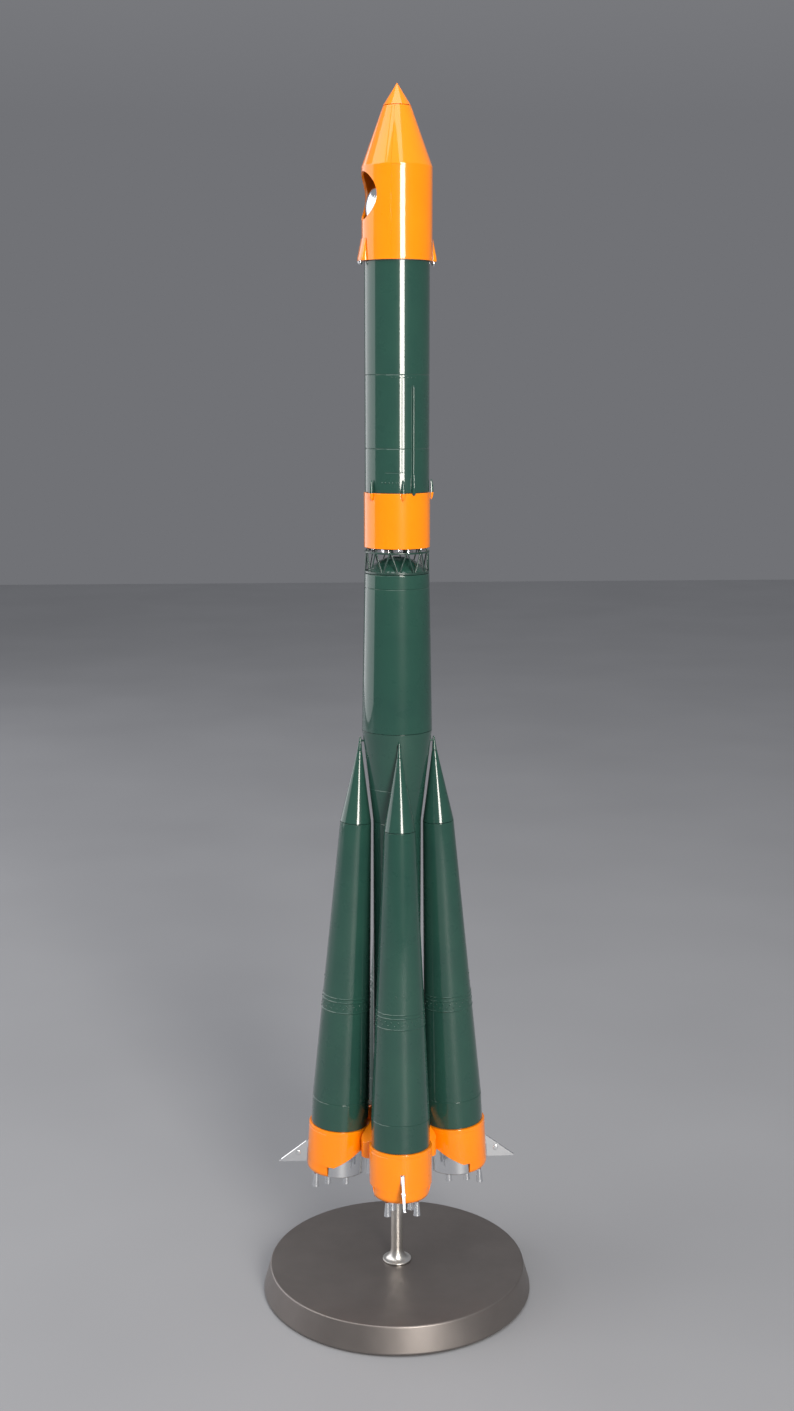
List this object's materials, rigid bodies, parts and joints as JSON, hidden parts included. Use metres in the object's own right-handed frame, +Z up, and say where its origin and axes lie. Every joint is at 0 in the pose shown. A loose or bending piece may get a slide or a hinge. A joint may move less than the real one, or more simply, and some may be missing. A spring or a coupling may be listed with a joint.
{
  "type": "display model rocket",
  "caption": "Tall desktop launch vehicle model with strap-on side boosters, open truss interstage and pointed fairing, on a round weighted stand.",
  "frame": {"origin": "centre of the stand's underside, on the surface it rests on", "axes": "+Z up along the rocket, -Y towards the front booster"},
  "size_m": [0.165, 0.165, 0.7132],
  "materials": {
    "gunmetal": "satin gunmetal lacquer",
    "felt": "black felt",
    "post_steel": "polished",
    "fastener": "plain zinc",
    "nylon": "natural nylon",
    "green": "deep green gloss lacquer",
    "truss_green": "dark green lacquer",
    "orange": "orange-yellow gloss lacquer",
    "chrome": "mirror chrome plating",
    "silver": "silver-grey gloss lacquer"
  },
  "bodies": {
    "stand": {"base_disc": "gunmetal", "base_pad": "felt", "post": "post_steel", "post_screw": "fastener", "post_washer": "fastener"},
    "swivel": {"post_cap": "nylon"},
    "core": {"core_tail_skirt": "orange", "core_engine": "chrome", "post_socket": "nylon", "core_lower_tank": "green", "core_upper_tank": "green", "core_dome": "green", "interstage_truss": "truss_green"},
    "upper_stage": {"upper_stage_band": "orange", "upper_stage_tank": "green", "upper_engine": "chrome", "raceway": "green", "joint_pod_front": "green", "joint_pod_left": "green", "joint_pod_right": "green", "payload_deck": "silver", "service_module": "silver", "capsule_ball": "chrome"},
    "fairing": {"fairing_shell": "orange", "nose_cap": "orange", "fairing_pod_left": "orange", "fairing_pod_right": "orange", "pod_screw_left": "chrome", "pod_screw_right": "chrome"},
    "booster_front": {"booster_front_hook": "green", "booster_front_nose": "green", "booster_front_tank": "green", "booster_front_skirt": "orange", "booster_front_engine": "chrome", "booster_front_fin": "chrome", "booster_front_base_peg": "nylon"},
    "booster_right": {"booster_right_hook": "green", "booster_right_nose": "green", "booster_right_tank": "green", "booster_right_skirt": "orange", "booster_right_engine": "chrome", "booster_right_fin": "chrome", "booster_right_base_peg": "nylon"},
    "booster_back": {"booster_back_hook": "green", "booster_back_nose": "green", "booster_back_tank": "green", "booster_back_skirt": "orange", "booster_back_engine": "chrome", "booster_back_fin": "chrome", "booster_back_base_peg": "nylon"},
    "booster_left": {"booster_left_hook": "green", "booster_left_nose": "green", "booster_left_tank": "green", "booster_left_skirt": "orange", "booster_left_engine": "chrome", "booster_left_fin": "chrome", "booster_left_base_peg": "nylon"}
  },
  "joints": [
    {"name": "rocket_turn", "type": "hinge", "parent": "stand", "child": "swivel", "pos_m": [0, 0, 0.14], "axis": [0, 0, 1], "continuous": true},
    {"name": "rocket_lift", "type": "slide", "parent": "swivel", "child": "core", "axis": [0, 0, 1], "range_m": [0, 0.075]},
    {"name": "stage_lift", "type": "slide", "parent": "core", "child": "upper_stage", "axis": [0, 0, 1], "range_m": [0, 0.015]},
    {"name": "fairing_lift", "type": "slide", "parent": "upper_stage", "child": "fairing", "axis": [0, 0, 1], "range_m": [0, 0.055]},
    {"name": "booster_front_swing", "type": "hinge", "parent": "core", "child": "booster_front", "pos_m": [0, -0.01918, 0.346], "axis": [-1, 0, 0], "range_deg": [0, 12]},
    {"name": "booster_right_swing", "type": "hinge", "parent": "core", "child": "booster_right", "pos_m": [0.01918, 0, 0.346], "axis": [0, -1, 0], "range_deg": [0, 12]},
    {"name": "booster_back_swing", "type": "hinge", "parent": "core", "child": "booster_back", "pos_m": [0, 0.01918, 0.346], "axis": [1, 0, 0], "range_deg": [0, 12]},
    {"name": "booster_left_swing", "type": "hinge", "parent": "core", "child": "booster_left", "pos_m": [-0.01918, 0, 0.346], "axis": [0, 1, 0], "range_deg": [0, 12]}
  ]
}
